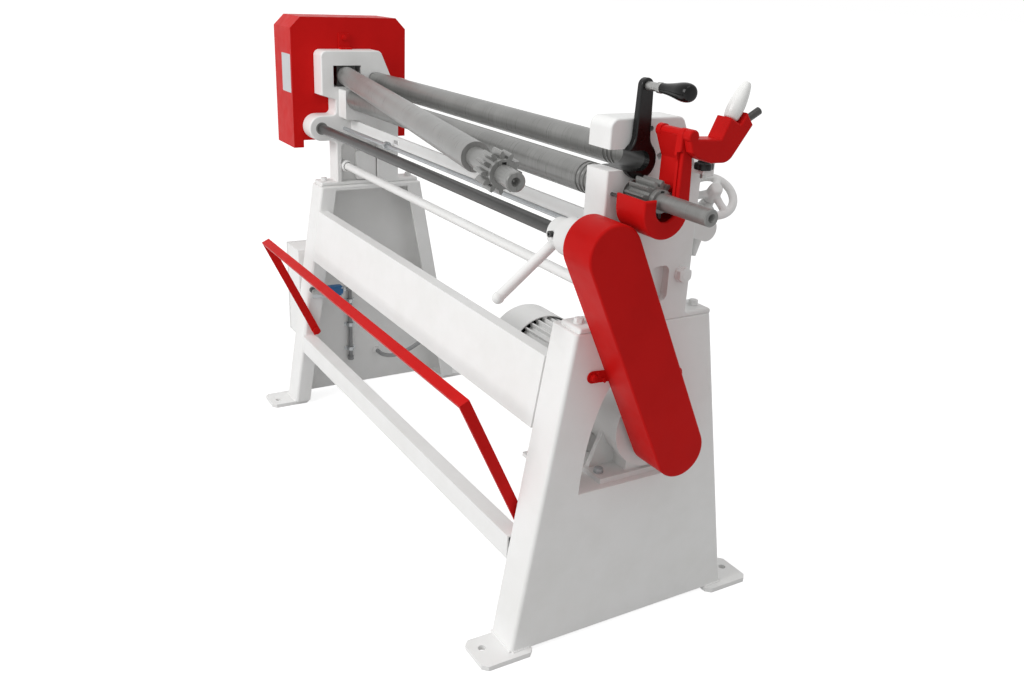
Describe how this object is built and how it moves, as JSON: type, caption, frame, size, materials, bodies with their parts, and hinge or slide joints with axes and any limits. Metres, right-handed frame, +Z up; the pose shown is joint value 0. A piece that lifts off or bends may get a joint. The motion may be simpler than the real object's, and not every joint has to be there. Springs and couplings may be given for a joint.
{
  "type": "plate rolling machine",
  "caption": "Powered slip roll for sheet metal: driven and idle rolls between cast housings on sheet stands, with a swing-out upper roll, a gearmotor and red guards.",
  "frame": {"origin": "on the floor, in the middle of the four foot holes", "axes": "+X along the rolls to the release end, +Y to the rear, +Z up"},
  "size_m": [1.93, 0.8152, 1.25],
  "materials": {
    "white_paint": "semi-gloss",
    "red_paint": "semi-gloss",
    "ground_steel": "satin",
    "grey_casting": "satin",
    "bronze": "satin",
    "black_plastic": "gloss",
    "black_paint": "semi-gloss",
    "white_plastic": "gloss",
    "blue_plastic": "matte",
    "rubber": "matte",
    "grey_sheath": "matte"
  },
  "bodies": {
    "frame": {"left_stand": "white_paint", "right_stand": "white_paint", "foot_plates": "white_paint", "front_beam": "white_paint", "lower_rail": "white_paint", "tie_plate": "white_paint", "tie_rod": "white_paint", "left_housing": "white_paint", "right_housing": "white_paint", "roll_bushes": "bronze", "lift_cross_tube": "ground_steel", "lift_bracket": "grey_casting", "gear_guard": "red_paint", "guard_hinge_pin": "ground_steel", "drive_belts": "rubber", "belt_guard": "red_paint", "belt_guard_back": "red_paint", "shift_spring": "ground_steel", "motor_shelf": "white_paint", "reducer": "white_paint", "motor_body": "white_paint", "fan_cowl": "white_paint", "terminal_box": "white_paint", "motor_cable": "grey_sheath", "gear_cover": "red_paint", "control_box": "white_paint", "limit_switch": "blue_plastic", "switch_conduit": "grey_sheath", "kick_bar_pivots": "ground_steel", "hex_bolts": "ground_steel"},
    "swivel": {"swivel_block": "ground_steel"},
    "upper_roll": {"upper_roll": "ground_steel", "upper_roll_gear": "ground_steel"},
    "lower_roll": {"lower_roll": "ground_steel", "lower_roll_gear": "ground_steel", "drive_gear": "ground_steel"},
    "rear_carriage": {"rear_roll_blocks": "grey_casting", "lift_screws": "ground_steel"},
    "rear_roll": {"rear_roll": "ground_steel"},
    "handwheel": {"lift_handwheel": "grey_casting", "lift_spindle": "ground_steel"},
    "knob": {"clamp_knob": "black_plastic"},
    "release_lever": {"release_bush": "ground_steel", "release_lever": "black_paint", "lever_pin": "ground_steel"},
    "lever_grip": {"lever_grip": "black_plastic"},
    "flip_guard": {"flip_guard": "red_paint", "flip_guard_grip": "white_plastic", "flip_guard_rod": "ground_steel"},
    "drive_shaft": {"drive_shaft": "ground_steel", "drive_pinion": "ground_steel", "driven_pulley": "grey_casting"},
    "clutch_lever": {"clutch_lever": "white_paint", "clutch_screw": "ground_steel"},
    "shift_rod": {"shift_rod": "ground_steel"},
    "output_shaft": {"output_shaft": "ground_steel"},
    "motor_fan": {"motor_fan": "black_plastic"},
    "control_door": {"control_box_door": "white_paint"},
    "switch_lever": {"switch_lever": "ground_steel"},
    "kick_bar": {"kick_bar": "red_paint"}
  },
  "joints": [
    {"name": "upper_roll_swing", "type": "hinge", "parent": "frame", "child": "swivel", "pos_m": [-0.735, -0.084, 1.08], "axis": [0, 0, 1], "range_deg": [0, 11.57]},
    {"name": "upper_roll_spin", "type": "hinge", "parent": "swivel", "child": "upper_roll", "pos_m": [-0.735, -0.084, 1.08], "axis": [0.9797, -0.2006, 0], "continuous": true},
    {"name": "lower_roll_spin", "type": "hinge", "parent": "frame", "child": "lower_roll", "pos_m": [0, -0.084, 1.017], "axis": [1, 0, 0], "continuous": true},
    {"name": "drive_shaft_spin", "type": "hinge", "parent": "frame", "child": "drive_shaft", "pos_m": [0, -0.17586, 0.92221], "axis": [1, 0, 0], "continuous": true},
    {"name": "output_shaft_spin", "type": "hinge", "parent": "frame", "child": "output_shaft", "pos_m": [0.8, 0.037, 0.475], "axis": [1, 0, 0], "continuous": true},
    {"name": "motor_fan_spin", "type": "hinge", "parent": "frame", "child": "motor_fan", "pos_m": [0.26, 0.044, 0.489], "axis": [1, 0, 0], "continuous": true},
    {"name": "rear_roll_lift", "type": "slide", "parent": "frame", "child": "rear_carriage", "axis": [0, -0.5, 0.866], "range_m": [-0.012, 0.012]},
    {"name": "rear_roll_spin", "type": "hinge", "parent": "rear_carriage", "child": "rear_roll", "pos_m": [0, 0.007, 1.062], "axis": [1, 0, 0], "continuous": true},
    {"name": "handwheel_turn", "type": "hinge", "parent": "frame", "child": "handwheel", "pos_m": [0.745, 0.14, 0.988], "axis": [0.6588, -0.2204, 0.7193], "range_deg": [-560, 560]},
    {"name": "clamp_knob_turn", "type": "hinge", "parent": "frame", "child": "knob", "pos_m": [0.797, 0.063, 1.065], "axis": [0, 0, 1], "range_deg": [0, 360]},
    {"name": "release_lever_turn", "type": "hinge", "parent": "frame", "child": "release_lever", "pos_m": [0.775, -0.084, 1.08], "axis": [1, 0, 0], "range_deg": [0, 75]},
    {"name": "lever_grip_spin", "type": "hinge", "parent": "release_lever", "child": "lever_grip", "pos_m": [0.87, -0.084, 1.216], "axis": [1, 0, 0], "continuous": true},
    {"name": "flip_guard_turn", "type": "hinge", "parent": "frame", "child": "flip_guard", "pos_m": [0.88, -0.054, 1.139], "axis": [1, 0, 0], "range_deg": [0, 75]},
    {"name": "clutch_lever_turn", "type": "hinge", "parent": "frame", "child": "clutch_lever", "pos_m": [0.681, -0.17586, 0.92221], "axis": [1, 0, 0], "range_deg": [-25, 25]},
    {"name": "shift_rod_slide", "type": "slide", "parent": "frame", "child": "shift_rod", "axis": [1, 0, 0], "range_m": [-0.012, 0]},
    {"name": "control_door_turn", "type": "hinge", "parent": "frame", "child": "control_door", "pos_m": [-0.8865, 0.032, 0.359], "axis": [0, 0, -1], "range_deg": [0, 110]},
    {"name": "switch_lever_turn", "type": "hinge", "parent": "frame", "child": "switch_lever", "pos_m": [-0.64, -0.186, 0.396], "axis": [-1, 0, 0], "range_deg": [0, 25], "stiffness_Nm_per_rad": 0.5, "springref_deg": -11.46},
    {"name": "kick_bar_turn", "type": "hinge", "parent": "frame", "child": "kick_bar", "pos_m": [0, -0.228, 0.268], "axis": [-1, 0, 0], "range_deg": [0, 12]}
  ],
  "couplings": [
    {"joint": "drive_shaft_spin", "follows": "lower_roll_spin", "ratio": -3},
    {"joint": "output_shaft_spin", "follows": "lower_roll_spin", "ratio": -3.7895},
    {"joint": "motor_fan_spin", "follows": "lower_roll_spin", "ratio": -56.842},
    {"joint": "handwheel_turn", "follows": "rear_roll_lift", "rad_per_m": 785.4}
  ]
}
